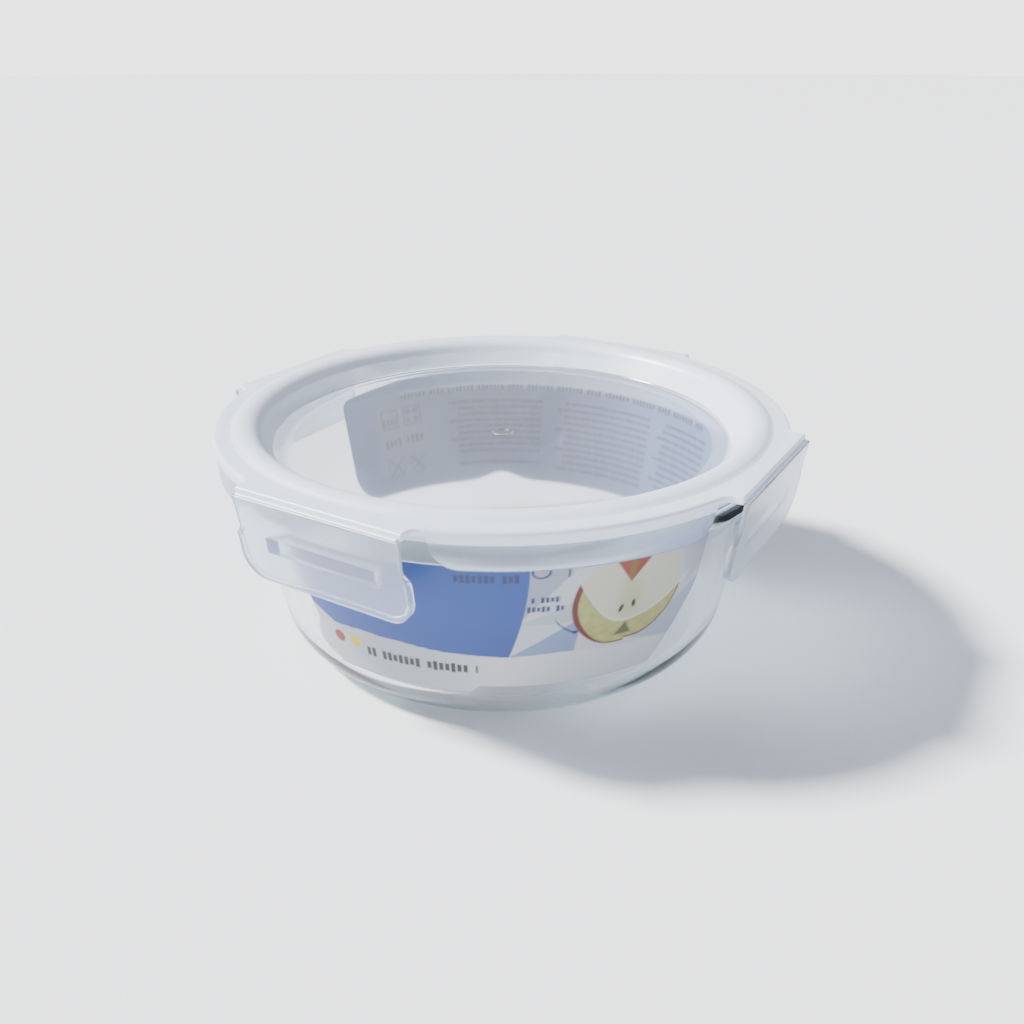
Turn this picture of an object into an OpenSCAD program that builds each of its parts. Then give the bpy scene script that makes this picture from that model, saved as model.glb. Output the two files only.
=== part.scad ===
// Round glass storage bowl with a four-wing locking lid.
// Origin: bowl axis at table level. +Z is up. The front wing faces -Y, the right wing +X.

/* [Glass bowl] */
// Height of the rim's top above the table
bowl_h = 68; // [56:0.5:84]
// Outer radius of the thick rim band
rim_r = 85.6; // [70:0.2:104]
// Height of the rim band
rim_band_h = 8.8; // [7:0.1:11]
// How far the rim band stands out from the wall under it
rim_step = 3; // [2.4:0.1:3.6]
// Outward lean of the wall from upright
wall_lean = 10.5; // [8:0.5:13]
// Wall thickness
glass_t = 3.6; // [3:0.1:4.4]
// Thickness of the base
base_t = 4.5; // [3.5:0.1:5.5]
// Outer radius of the foot corner
foot_corner_r = 15.3; // [12:0.1:18.4]
// Inner radius of the foot corner
inner_corner_r = 12; // [9:0.1:14.4]
// Radius of the rim's outer top edge
rim_round = 2.4; // [1.8:0.1:2.9]
// Radius of the rim's inner top edge and of the band's lower edge
rim_edge_round = 0.7; // [0.4:0.1:1]
// Radius of the hollow under the rim band
rim_fillet_r = 1; // [0.6:0.1:1.4]
// Width of the foot ring that the bowl stands on
foot_ring_w = 7; // [5:0.5:9]
// Depth of the push-up under the base
push_up = 0.8; // [0.5:0.1:1.2]

/* [Lid panel] */
// Height of the deck's top above the bowl's rim
deck_rise = 3.5; // [3.2:0.1:4.2]
// How far the deck's round edge lies outside the rim band
deck_overhang = 4.2; // [3.8:0.1:5.2]
// Thickness of the deck
deck_t = 2; // [1.6:0.1:2.4]
// How far the locking ring lies inside the rim band, at its crest
crest_inset = 4.9; // [4.4:0.1:5.4]
// Height of the crest above the deck
crest_h = 1.5; // [1.2:0.1:1.8]
// Half width of the crest where it leaves the deck
crest_half_w = 3.7; // [3.2:0.1:4]
// Wall thickness of crest, recess wall and centre panel
lid_t = 1.5; // [1.2:0.1:1.8]
// Depth of the centre panel below the deck
recess_d = 8; // [6:0.2:10]
// Lean of the recess wall from upright
recess_lean = 30; // [24:1:36]
// Radius between the recess wall and the centre panel
recess_fillet_r = 2; // [1.4:0.1:2.6]
// Radius between the crest's outer side and the deck
crest_fillet_r = 1.6; // [1:0.1:2]
// Radius of the deck's round top edge
deck_edge_r = 1; // [0.6:0.1:1.2]
// Outer radius of the gate mark, a ring in the middle of the panel
gate_mark_r = 3.2; // [2:0.1:5]
// Width of the gate mark's ring
gate_mark_w = 1; // [0.6:0.1:1.4]
// Height of the gate mark
gate_mark_h = 0.2; // [0.1:0.05:0.4]
// Gap between the rim band and the guide ring under the deck
guide_gap = 0.6; // [0.4:0.1:0.8]
// Thickness of the guide ring
guide_t = 1.1; // [0.8:0.1:1.3]
// Reach of the guide ring below the deck's underside
guide_h = 3; // [2:0.1:3.6]

/* [Skirt] */
// Height of the skirt below the deck's top
skirt_h = 11.2; // [9:0.1:13.4]
// Height of the thick upper band of the skirt
skirt_band_h = 3.8; // [3:0.1:4.6]
// Thickness of the skirt's upper band
skirt_band_t = 1.7; // [1.4:0.1:2]
// Thickness of the thin lower skirt
skirt_t = 1.2; // [1:0.1:1.4]
// Angle that each skirt segment covers
skirt_span = 50; // [40:1:54]
// How far the lower skirt is set in from the deck's edge
skirt_inset = 0.5; // [0.4:0.1:0.8]
// Radius of the skirt's lower corners
skirt_corner_r = 7.2; // [4:0.2:7.2]

/* [Wings and hinges] */
// Number of wings around the lid
wing_count = 4; // [4:1:4]
// Half width of a wing at its hinge
wing_half_w = 27.4; // [22:0.2:31]
// How much narrower each side is at the wing's waist
waist_in = 0.6; // [0:0.1:1.2]
// Half width of the finger tab at the wing's lower end
tab_half_w = 28.6; // [23:0.2:32]
// Length of a wing from its hinge to its lower edge
wing_h = 26; // [23:0.5:30]
// Height of the finger tab
tab_h = 15.4; // [12:0.2:18]
// Radius of the tab's lower corners
tab_corner_r = 7.5; // [4:0.2:9]
// Radius of the tab's upper corners
tab_shoulder_r = 2.4; // [1.5:0.1:3]
// How far the ears' straight edges lie outside the round deck
ear_out = 0.2; // [0.2:0.1:0.8]
// Largest radius of the hollow corners between an ear and the round deck
ear_fillet_max = 3.5; // [2:0.1:4]
// Radius of the ears' pointed corners
ear_corner_r = 0.8; // [0.4:0.1:1.2]
// Least depth of an ear's side, from its straight edge back to the hollow corner
ear_side = 1.5; // [1.3:0.1:2]
// Gap between the hinge axis and the plate's upper edge
plate_drop = 0.25; // [0.2:0.05:0.3]
// Width of the bevel on the plate's inner upper edge
plate_bevel = 0.7; // [0.6:0.05:0.8]
// Thickness of the wing plate
wing_t = 1.4; // [1.2:0.1:1.7]
// Width of the stiffening edge around the tab
tab_rim_w = 1.5; // [1.2:0.1:2]
// How far the stiffening edge stands in from the plate
tab_rim_d = 0.8; // [0.5:0.1:0.9]
// Inward lean of a wing at rest
wing_lean = 7.5; // [5:0.5:8]
// Half length of the locking bar on the wing's inner side
lock_half_l = 18; // [14:0.5:21]
// Height of the locking bar
lock_h = 4.8; // [3.5:0.1:5.6]
// Gap between the locking bar and the rim band while the wing hangs unlocked
lock_gap = 0.35; // [0.3:0.05:0.5]
// Gap between the snapped locking bar and the rim band above it
lock_drop = 0.4; // [0.3:0.05:0.8]
// Angle between a hanging wing and a snapped one
snap_angle = 4; // [3.5:0.1:5]
// Radius of the film hinge's bead
bead_r = 0.4; // [0.35:0.05:0.5]
// Clearance between the bead and its seat in the wing
bead_gap = 0.08; // [0.05:0.01:0.1]
// Thickness of the film between deck and bead
film_t = 0.35; // [0.25:0.05:0.4]
// Distance from the ear's edge to the hinge axis
film_reach = 0.8; // [0.75:0.05:1]
// Depth of the hinge axis below the deck's top
hinge_drop = 1.5; // [1.3:0.05:1.5]

/* [Gasket] */
// Clearance between the gasket and its channel
seal_gap = 0.05; // [0:0.01:0.1]
// Gap between the resting gasket and the rim's top
seal_lift = 0.25; // [0.2:0.05:0.4]
// Width of the groove between the gasket's two lips
seal_groove_w = 2; // [1.4:0.1:2.4]
// Depth of that groove
seal_groove_d = 1.4; // [1:0.1:1.6]

/* [Labels] */
// Thickness of a label
label_t = 0.15; // [0.1:0.01:0.2]
// Height of the front label's lower edge above the table
label_low = 13.6; // [13.6:0.2:20]
// Gap between the labels' top edges and the rim band
label_top_gap = 2.2; // [1:0.1:6]
// Direction that the front label faces, from the front wing
front_label_at = 31; // [0:1:90]
// Angle that the front label covers
front_label_span = 91; // [60:1:100]
// Direction that the back label faces, from the front wing
back_label_at = 196; // [180:1:240]
// Angle that the back label covers
back_label_span = 128; // [90:1:140]

/* [Hidden] */
$fn = 96;
arc_steps = 10;

lip_z = bowl_h - rim_band_h;
wall_r = rim_r - rim_step;
glass_across = glass_t / cos(wall_lean);
deck_z = bowl_h + deck_rise;
deck_low = deck_z - deck_t;
deck_r = rim_r + deck_overhang;
crest_r = rim_r - crest_inset;
crest_arc_r = (crest_half_w * crest_half_w + crest_h * crest_h) / (2 * crest_h);
crest_arc_z = deck_z + crest_h - crest_arc_r;
channel_r = crest_arc_r - lid_t;
panel_z = deck_z - recess_d;
guide_r = rim_r + guide_gap;
ear_d = deck_r + ear_out;
hinge_r = ear_d + film_reach;
hinge_z = deck_z - hinge_drop;
wing_pitch = 360 / wing_count;
lock_r = rim_r + lock_gap;
lock_top_z = lip_z - lock_drop;
label_high = lip_z - label_top_gap;
seal_low = bowl_h + seal_lift;

// Outer and inner radius of the glass wall's straight part at height z.
function wall_at(z) = wall_r + (z - lip_z) * tan(wall_lean);
function inside_at(z) = wall_at(z) - glass_across;

// Radius of the centre of a corner round r that touches a level z and a wall line.
// wall_0 is the line's radius at height 0.
function corner_x(wall_0, z, r) = wall_0 + (z + r) * tan(wall_lean) - r / cos(wall_lean);

// Points along an arc about [x, y] from angle a to angle b.
function arc(x, y, r, a, b) =
    [for (i = [0:arc_steps]) let (t = a + (b - a) * i / arc_steps) [x + r * cos(t), y + r * sin(t)]];

// Outline of a slab with round lower corners r_low and upper corners r_high.
function slab(half_w, low, high, r_low, r_high) = concat(
    arc(half_w - r_low, low + r_low, r_low, -90, 0),
    arc(half_w - r_high, high - r_high, r_high, 0, 90),
    arc(r_high - half_w, high - r_high, r_high, 90, 180),
    arc(r_low - half_w, low + r_low, r_low, 180, 270));

// Half section of the bowl, from the push-up under the base round to the inner floor.
module bowl_section() {
    foot_x = corner_x(wall_at(0), 0, foot_corner_r);
    floor_x = corner_x(inside_at(0), base_t, inner_corner_r);
    fillet_z = lip_z - rim_fillet_r;
    mouth_z = bowl_h - rim_edge_round;
    polygon(concat(
        [[0, push_up], [foot_x - foot_ring_w - push_up, push_up], [foot_x - foot_ring_w, 0]],
        arc(foot_x, foot_corner_r, foot_corner_r, -90, -wall_lean),
        arc(wall_at(fillet_z) + rim_fillet_r, fillet_z, rim_fillet_r, 180, 90),
        arc(rim_r - rim_edge_round, lip_z + rim_edge_round, rim_edge_round, -90, 0),
        arc(rim_r - rim_round, bowl_h - rim_round, rim_round, 0, 90),
        arc(inside_at(mouth_z) + rim_edge_round, mouth_z, rim_edge_round, 90, 180),
        arc(floor_x, base_t + inner_corner_r, inner_corner_r, -wall_lean, -90),
        [[0, base_t]]));
}

module glass_bowl() {
    color("lightcyan", 0.4)
        rotate_extrude()
            bowl_section();
}

// Half section of the lid's round part: panel, recess wall, crest, deck and guide ring.
// The recess wall leaves crest and channel as a tangent, so the wall keeps one thickness.
module lid_section() {
    wall_foot_r = crest_r - crest_arc_r / cos(recess_lean)
        + (panel_z - crest_arc_z) * tan(recess_lean);
    panel_x = wall_foot_r + recess_fillet_r * (tan(recess_lean) - 1 / cos(recess_lean));
    panel_arc_z = panel_z + recess_fillet_r;
    blend_z = deck_z + crest_fillet_r;
    blend_reach = crest_arc_r + crest_fillet_r;
    blend_x = crest_r + sqrt(pow(blend_reach, 2) - pow(blend_z - crest_arc_z, 2));
    blend_a = asin((blend_z - crest_arc_z) / blend_reach);
    channel_a = asin((deck_low - crest_arc_z) / channel_r);
    mark_in = gate_mark_r - gate_mark_w;
    polygon(concat(
        [[0, panel_z - lid_t]],
        arc(panel_x, panel_arc_z, recess_fillet_r + lid_t, -90, -recess_lean),
        arc(crest_r, crest_arc_z, channel_r, 180 - recess_lean, channel_a),
        [[guide_r, deck_low], [guide_r, deck_low - guide_h],
         [guide_r + guide_t, deck_low - guide_h], [guide_r + guide_t, deck_low],
         [deck_r, deck_low]],
        arc(deck_r - deck_edge_r, deck_z - deck_edge_r, deck_edge_r, 0, 90),
        arc(blend_x, blend_z, crest_fillet_r, 270, 180 + blend_a),
        arc(crest_r, crest_arc_z, crest_arc_r, blend_a, 180 - recess_lean),
        arc(panel_x, panel_arc_z, recess_fillet_r, -recess_lean, -90),
        [[gate_mark_r, panel_z], [gate_mark_r, panel_z + gate_mark_h],
         [mark_in, panel_z + gate_mark_h], [mark_in, panel_z], [0, panel_z]]));
}

// One ear, a tongue that carries a straight film hinge, with hollow corners to the deck.
module ear() {
    meet_r = deck_r - deck_edge_r / 2;
    half_w = wing_half_w;
    fillet_limit = (pow(ear_d - ear_side, 2) - pow(meet_r, 2) + pow(half_w, 2)) / (2 * (meet_r - half_w));
    fillet_r = min(ear_fillet_max, fillet_limit);
    fillet_x = half_w + fillet_r;
    fillet_y = sqrt(pow(meet_r + fillet_r, 2) - pow(fillet_x, 2));
    right_side = concat(
        arc(half_w - ear_corner_r, ear_corner_r - ear_d, ear_corner_r, -90, 0),
        arc(fillet_x, -fillet_y, fillet_r, 180, atan2(fillet_y, -fillet_x)),
        [[fillet_x * 0.9, -fillet_y * 0.97], [half_w, -crest_r - crest_half_w]]);
    left_side = [for (i = [len(right_side) - 1:-1:0]) [-right_side[i][0], right_side[i][1]]];
    translate([0, 0, deck_low])
        linear_extrude(deck_t)
            polygon(concat(right_side, left_side));
}

// Skirt segments between the wings: a thick upper band and a thin lower skirt.
module skirt() {
    half_w = deck_r * sin(skirt_span / 2);
    band_r = deck_r - skirt_inset / 3;
    thin_r = deck_r - skirt_inset;
    root_z = deck_low + deck_t / 3;
    intersection() {
        rotate_extrude()
            polygon([[band_r, root_z], [band_r, deck_z - skirt_band_h],
                     [thin_r, deck_z - skirt_band_h], [thin_r, deck_z - skirt_h],
                     [thin_r - skirt_t, deck_z - skirt_h], [thin_r - skirt_t, deck_z - skirt_band_h],
                     [band_r - skirt_band_t, deck_z - skirt_band_h], [band_r - skirt_band_t, root_z]]);
        union() {
            for (k = [0:wing_count - 1])
                rotate([0, 0, wing_pitch * (k + 0.5)])
                    translate([0, -wall_r / 2, 0])
                        rotate([90, 0, 0])
                            linear_extrude(deck_r)
                                polygon(slab(half_w, deck_z - skirt_h, deck_z + 2, skirt_corner_r, 1));
        }
    }
}

module lid_panel() {
    color("aliceblue", 0.6)
        union() {
            rotate_extrude()
                lid_section();
            for (k = [0:wing_count - 1])
                rotate([0, 0, wing_pitch * k])
                    ear();
            skirt();
        }
}

// Seal with two lips in the crest's channel, just above the rim.
module lid_gasket() {
    section_r = channel_r - seal_gap;
    side_a = asin((seal_low - crest_arc_z) / section_r);
    groove_z = seal_low + seal_groove_d;
    groove_in = crest_r - seal_groove_w / 2;
    groove_out = crest_r + seal_groove_w / 2;
    color("whitesmoke")
        rotate_extrude()
            polygon(concat(
                arc(crest_r, crest_arc_z, section_r, side_a, 180 - side_a),
                [[groove_in, seal_low], [groove_in, groove_z],
                 [groove_out, groove_z], [groove_out, seal_low]]));
}

// Places its child at the hinge of wing number k, counted from the front.
module at_hinge(k) {
    rotate([0, 0, wing_pitch * k])
        translate([0, -hinge_r, hinge_z])
            children();
}

// Outline of the plate: straight sides that draw in to a waist, and a wider finger tab.
module plate_outline() {
    shoulder_z = tab_h - wing_h;
    waist_w = wing_half_w - waist_in;
    right_side = concat(
        [[wing_half_w, -plate_drop], [waist_w, shoulder_z]],
        arc(tab_half_w - tab_shoulder_r, shoulder_z - tab_shoulder_r, tab_shoulder_r, 60, 0),
        arc(tab_half_w - tab_corner_r, tab_corner_r - wing_h, tab_corner_r, 0, -90));
    left_side = [for (i = [len(right_side) - 1:-1:0]) [-right_side[i][0], right_side[i][1]]];
    polygon(concat(right_side, left_side));
}

// Outline of the stiffening edge that runs down both sides of the tab and along its bottom.
module tab_rim_outline() {
    top = tab_h - wing_h - tab_shoulder_r;
    outer_w = tab_half_w;
    inner_w = tab_half_w - tab_rim_w;
    inner_r = tab_corner_r - tab_rim_w;
    polygon(concat(
        [[outer_w, top]],
        arc(outer_w - tab_corner_r, tab_corner_r - wing_h, tab_corner_r, 0, -90),
        arc(tab_corner_r - outer_w, tab_corner_r - wing_h, tab_corner_r, 270, 180),
        [[-outer_w, top], [-inner_w, top]],
        arc(inner_r - inner_w, tab_corner_r - wing_h, inner_r, 180, 270),
        arc(inner_w - inner_r, tab_corner_r - wing_h, inner_r, -90, 0),
        [[inner_w, top]]));
}

// Upright wing plate, its hinge axis on X, its outer side towards -Y.
module wing_plate() {
    difference() {
        union() {
            translate([0, wing_t / 2, 0])
                rotate([90, 0, 0])
                    linear_extrude(wing_t)
                        plate_outline();
            translate([0, wing_t / 2 + tab_rim_d, 0])
                rotate([90, 0, 0])
                    linear_extrude(tab_rim_d + wing_t / 2)
                        tab_rim_outline();
        }
        translate([-wing_half_w - 1, 0, 0])
            rotate([0, 90, 0])
                cylinder(h = 2 * wing_half_w + 2, r = bead_r + bead_gap);
        translate([-wing_half_w - 1, wing_t / 2, -plate_drop - plate_bevel])
            rotate([45, 0, 0])
                cube([2 * wing_half_w + 2, 2 * plate_bevel, 3 * plate_bevel]);
    }
}

// One wing at rest: the leaning plate and its locking bar, hollowed to pass the rim band.
// The bar's top is level when the wing is snapped, so it hangs tilted by the snap angle.
module wing(k) {
    bar_mid_h = hinge_z - lock_top_z + lock_h / 2;
    bar_root = bar_mid_h * tan(wing_lean + snap_angle);
    color("aliceblue", 0.7)
        union() {
            at_hinge(k)
                rotate([wing_lean, 0, 0])
                    wing_plate();
            difference() {
                at_hinge(k)
                    rotate([-snap_angle, 0, 0])
                        translate([-lock_half_l, bar_root, lock_top_z - hinge_z - lock_h])
                            cube([2 * lock_half_l, hinge_r - wall_r, lock_h]);
                translate([0, 0, lock_top_z - 2 * lock_h])
                    cylinder(h = 4 * lock_h, r = lock_r);
            }
        }
}

// Film and round bead that carry wing k.
module film_hinge(k) {
    half_l = wing_half_w - ear_corner_r;
    color("white")
        at_hinge(k)
            union() {
                translate([-half_l, 0, -film_t / 2])
                    cube([2 * half_l, film_reach, film_t]);
                translate([-half_l, 0, 0])
                    rotate([0, 90, 0])
                        cylinder(h = 2 * half_l, r = bead_r);
            }
}

// Thin sheet wrapped around the bowl's wall.
module wall_label(facing, span) {
    rotate([0, 0, facing - 90 - span / 2])
        rotate_extrude(angle = span)
            polygon([[wall_at(label_low), label_low], [wall_at(label_low) + label_t, label_low],
                     [wall_at(label_high) + label_t, label_high], [wall_at(label_high), label_high]]);
}

module front_label() {
    color("cornflowerblue")
        wall_label(front_label_at, front_label_span);
}

module back_label() {
    color("lightsteelblue")
        wall_label(back_label_at, back_label_span);
}

glass_bowl();
lid_panel();
lid_gasket();
wing(0);  // wing_front
wing(1);  // wing_right
wing(2);  // wing_back
wing(3);  // wing_left
film_hinge(0);  // film_hinge_front
film_hinge(1);  // film_hinge_right
film_hinge(2);  // film_hinge_back
film_hinge(3);  // film_hinge_left
front_label();
back_label();
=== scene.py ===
# %% [markdown]
# # Glass storage bowl with a locking lid
# The CAD model is the frame: it says where every part is and how it moves. This notebook makes
# the parts as they look: pressed glass, a satin polypropylene lid, four locking
# wings on film hinges, a silicone seal and two printed labels.

# %% The frame
import math
import bpy
import numpy as np
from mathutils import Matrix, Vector


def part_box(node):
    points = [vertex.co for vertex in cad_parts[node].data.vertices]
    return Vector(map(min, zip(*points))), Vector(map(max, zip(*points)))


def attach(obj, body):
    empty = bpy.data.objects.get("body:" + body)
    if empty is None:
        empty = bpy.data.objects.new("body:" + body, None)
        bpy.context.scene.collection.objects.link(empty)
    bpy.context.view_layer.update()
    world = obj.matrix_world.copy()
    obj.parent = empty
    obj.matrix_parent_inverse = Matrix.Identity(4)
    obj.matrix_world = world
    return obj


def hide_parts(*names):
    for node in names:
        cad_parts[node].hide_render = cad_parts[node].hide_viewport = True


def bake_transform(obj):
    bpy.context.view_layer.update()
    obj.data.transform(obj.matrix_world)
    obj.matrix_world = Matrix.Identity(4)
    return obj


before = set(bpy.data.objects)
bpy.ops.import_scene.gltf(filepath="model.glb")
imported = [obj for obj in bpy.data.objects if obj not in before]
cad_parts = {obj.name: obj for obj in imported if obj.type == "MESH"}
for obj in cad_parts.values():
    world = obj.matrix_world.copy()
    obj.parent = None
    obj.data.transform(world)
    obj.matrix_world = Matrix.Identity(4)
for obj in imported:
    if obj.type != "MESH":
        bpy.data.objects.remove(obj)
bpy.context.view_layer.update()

MM = 0.001

# %% [markdown]
# ## Camera
# The camera comes first, so that every later step can be judged from it. It stands about a
# third of a metre away, left of the front wing's middle, and looks down by 25 degrees.

# %% Camera
camera = bpy.data.objects.new("camera", bpy.data.cameras.new("camera"))
bpy.context.collection.objects.link(camera)
bpy.context.scene.camera = camera
camera.location = Vector((158.1, -253.7, 175.2)) * MM
camera.rotation_euler = (math.radians(64.82), 0, math.radians(31.35))
camera.data.lens = 34.46
camera.data.clip_start = 0.01
print("camera distance in mm:", round(camera.location.length / MM))

# %% [markdown]
# ## Two ways to make a surface
# Almost every part here is either turned about the bowl's axis or a thin sheet. A turned part
# is a section carried round a circle; where its outline isn't round, the section's radius
# changes with the direction. A sheet has an outer and an inner face on the same grid, and a
# strip of faces joins their edges. Both are worked out as whole arrays, in millimetres.

# %% Helpers: arcs, steps and meshes
def arc(x, y, r, start, end, steps=7):
    """Points on a circle about (x, y) from one angle to another: x + r cos a, y + r sin a."""
    a = np.radians(np.linspace(start, end, steps))
    return np.column_stack([x + r * np.cos(a), y + r * np.sin(a)])


def smooth_step(x):
    """0 below 0, 1 above 1, and 3x^2 - 2x^3 between, which starts and ends level."""
    x = np.clip(x, 0, 1)
    return x * x * (3 - 2 * x)


def quads(index):
    """Faces between neighbouring rows and columns of a grid of vertex numbers."""
    return np.stack([index[:-1, :-1], index[:-1, 1:], index[1:, 1:], index[1:, :-1]], -1).reshape(-1, 4)


def new_piece(name, points, faces, sharp_deg=40):
    """A mesh object at the origin from points in mm. Edges sharper than sharp_deg stay crisp."""
    mesh = bpy.data.meshes.new(name)
    mesh.from_pydata((np.asarray(points) * MM).tolist(), [], faces)
    mesh.shade_smooth()
    mesh.set_sharp_from_angle(angle=math.radians(sharp_deg))
    piece = bpy.data.objects.new(name, mesh)
    bpy.context.collection.objects.link(piece)
    print(name, len(mesh.vertices), "vertices,", sum(len(f) - 2 for f in faces), "triangles")
    return piece


def turned(name, radius, height, azimuth, closed=False):
    """A surface turned about Z: (radius cos azimuth, radius sin azimuth, height).
    Rows follow the section and columns go round. A closed section joins up with itself;
    an open one starts and ends on the axis, where its first and last rows become poles."""
    a, radius, height = np.broadcast_arrays(np.radians(azimuth), radius, height)
    grid = np.stack([radius * np.cos(a), radius * np.sin(a), height], -1)
    body = grid if closed else grid[1:-1]
    rows, columns = body.shape[:2]
    index = np.arange(rows * columns).reshape(rows, columns)
    round_index = np.column_stack([index, index[:, 0]])
    if closed:
        return new_piece(name, body.reshape(-1, 3), quads(np.vstack([round_index, round_index[:1]])).tolist())
    low, high = rows * columns, rows * columns + 1
    first, last = round_index[0], round_index[-1]
    fans = [(low, int(b), int(a)) for a, b in zip(first[:-1], first[1:])]
    fans += [(int(a), int(b), high) for a, b in zip(last[:-1], last[1:])]
    poles = [grid[0].mean(0), grid[-1].mean(0)]
    return new_piece(name, np.vstack([body.reshape(-1, 3), poles]), quads(round_index).tolist() + fans)


def sheet(name, outer, inner, sharp_deg=40):
    """A closed sheet from two grids of points, its outer and inner face, with joined edges."""
    rows, columns = outer.shape[:2]
    count = rows * columns
    index = np.arange(count).reshape(rows, columns)
    rim = np.concatenate([index[0], index[1:, -1], index[-1, -2::-1], index[-2:0:-1, 0]])
    following = np.roll(rim, -1)
    strip = np.stack([following, rim, rim + count, following + count], -1)
    faces = np.vstack([quads(index), quads(index)[:, ::-1] + count, strip])
    points = np.vstack([outer.reshape(-1, 3), inner.reshape(-1, 3)])
    return new_piece(name, points, faces.tolist(), sharp_deg)


# %% [markdown]
# ## Sizes
# The driving sizes come from the frame's boxes where they can. The others repeat the CAD
# model's own values, in millimetres.

# %% Sizes
def top(node):
    """Highest corner of a CAD node in mm."""
    return np.array(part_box(node)[1]) / MM


BOWL_H = top("glass_bowl")[2]
RIM_R = top("glass_bowl")[0]
BAND_H, RIM_STEP, WALL_LEAN = 8.8, 3.0, math.radians(10.5)
GLASS_T, BASE_T, FOOT_R, INNER_R, PUSH_UP, FOOT_RING_W = 3.6, 4.5, 15.3, 12.0, 0.8, 7.0
LIP_Z = BOWL_H - BAND_H
WALL_R = RIM_R - RIM_STEP
CREST_H, CREST_HALF_W, LID_T, DECK_T = 1.5, 3.7, 1.5, 2.0
DECK_Z = top("lid_panel")[2] - CREST_H
DECK_LOW = DECK_Z - DECK_T
DECK_R = RIM_R + 4.2
CREST_R = RIM_R - 4.9
CREST_ARC = (CREST_HALF_W ** 2 + CREST_H ** 2) / (2 * CREST_H)
CREST_ARC_Z = DECK_Z + CREST_H - CREST_ARC
PANEL_Z = DECK_Z - 8.0
EAR_D = DECK_R + 0.2
HINGE_R, HINGE_Z = EAR_D + 0.8, DECK_Z - 1.5
WING_HALF_W = 27.4
LABEL_FACING = 31.35
print("bowl", BOWL_H, "deck", DECK_Z, "hinges at", HINGE_R, HINGE_Z)


def wall_radius(z):
    """Outer radius of the glass wall at height z: the wall leans outwards in a straight line."""
    return WALL_R + (z - LIP_Z) * math.tan(WALL_LEAN)


# %% [markdown]
# ## The bowl
# A pressed glass bowl: one mould shapes the outside, a plunger the inside. So the wall has one
# thickness, the floor is thick with a round heel, and the rim is a heavy band. A bowl could be
# a curve with a Screw modifier; here its section is carried round as an array, which keeps
# each radius exact. Glass shows every facet in its refractions, so it has many columns.

# %% Bowl
def bowl_section():
    """Section from the push-up under the base, up the outside, over the rim and down inside."""
    across, slope = GLASS_T / math.cos(WALL_LEAN), math.tan(WALL_LEAN)
    lean = math.degrees(WALL_LEAN)
    edge_round, rim_round, fillet = 0.7, 2.4, 1

    def corner(line, z, r):
        return line + (z + r) * slope - r / math.cos(WALL_LEAN)

    foot_x = corner(wall_radius(0), 0, FOOT_R)
    floor_x = corner(wall_radius(0) - across, BASE_T, INNER_R)
    foot_in = foot_x - FOOT_RING_W
    mouth_x = wall_radius(BOWL_H) - across + edge_round
    fillet_x = wall_radius(LIP_Z - fillet) + fillet
    return np.vstack([
        [[0, PUSH_UP], [30, PUSH_UP], [foot_in - 1.2, PUSH_UP], [foot_in - 0.4, 0.35], [foot_in + 0.6, 0]],
        arc(foot_x, FOOT_R, FOOT_R, -90, -lean, 22),
        np.column_stack([wall_radius(np.linspace(16, 54, 8)), np.linspace(16, 54, 8)]),
        arc(fillet_x, LIP_Z - fillet, fillet, 180, 90, 6),
        arc(RIM_R - edge_round, LIP_Z + edge_round, edge_round, -90, 0, 6),
        arc(RIM_R - rim_round, BOWL_H - rim_round, rim_round, 0, 90, 9),
        arc(mouth_x, BOWL_H - edge_round, edge_round, 90, 180 - lean, 6),
        np.column_stack([wall_radius(np.linspace(58, 18, 8)) - across, np.linspace(58, 18, 8)]),
        arc(floor_x, BASE_T + INNER_R, INNER_R, -lean, -90, 18),
        [[30, BASE_T], [0, BASE_T]]])


section = bowl_section()
bowl_turns = np.linspace(0, 360, 288, endpoint=False)
bowl_glass = turned("bowl_glass", section[:, :1], section[:, 1:], bowl_turns)
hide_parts("glass_bowl")
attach(bowl_glass, "bowl")

# %% [markdown]
# ## The lid's outline
# Seen from above the lid is round, with an ear in front of each wing: a tongue with a straight
# edge for the film hinge and hollow corners. So the outline is a radius that changes with the
# direction. Between the wings a skirt hangs down over the rim, with round lower corners.

# %% Outline and skirt as functions of the direction from a wing's middle
EAR_FILLET = 3.5
SKIRT_START = 20.0
SKIRT_LOW, SKIRT_CORNER, SKIRT_HALF_SPAN = DECK_Z - 11.2, 7.2, 25
half = np.concatenate([np.arange(1, 16, 1.0), np.arange(16, 17.6, 0.08), np.arange(17.6, 19.9, 0.2),
                       [19.96, 20.0, 20.04], np.arange(20.1, 21, 0.12), np.arange(21, 26, 0.35),
                       np.arange(26, 45, 1.0), [45.0]])
quarter = np.concatenate([-half[:-1][::-1], [0], half])
lid_turns = np.concatenate([quarter + 90 * k - 90 for k in range(4)])


def outline_radius(direction):
    """Radius of the lid's edge. In front of a wing it is the ear's straight edge, distance over
    cosine; then the ear's side, half width over sine; then a hollow arc; then the round deck."""
    a = np.radians(np.clip(np.abs(direction), 0.01, None))
    edge, side = EAR_D / np.cos(a), WING_HALF_W / np.sin(a)
    soft = 0.2
    tip = -soft * np.logaddexp(-edge / soft, -side / soft)
    centre_x = WING_HALF_W + EAR_FILLET
    centre_y = math.sqrt((DECK_R + EAR_FILLET) ** 2 - centre_x ** 2)
    along = centre_x * np.sin(a) + centre_y * np.cos(a)
    inside = np.maximum(EAR_FILLET ** 2 - (centre_x ** 2 + centre_y ** 2 - along ** 2), 0)
    hollow = along - np.sqrt(inside)
    side_end, hollow_end = math.atan2(WING_HALF_W, centre_y), math.atan2(centre_x, centre_y)
    return np.where(a < side_end, tip, np.where(a < hollow_end, hollow, DECK_R))


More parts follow.
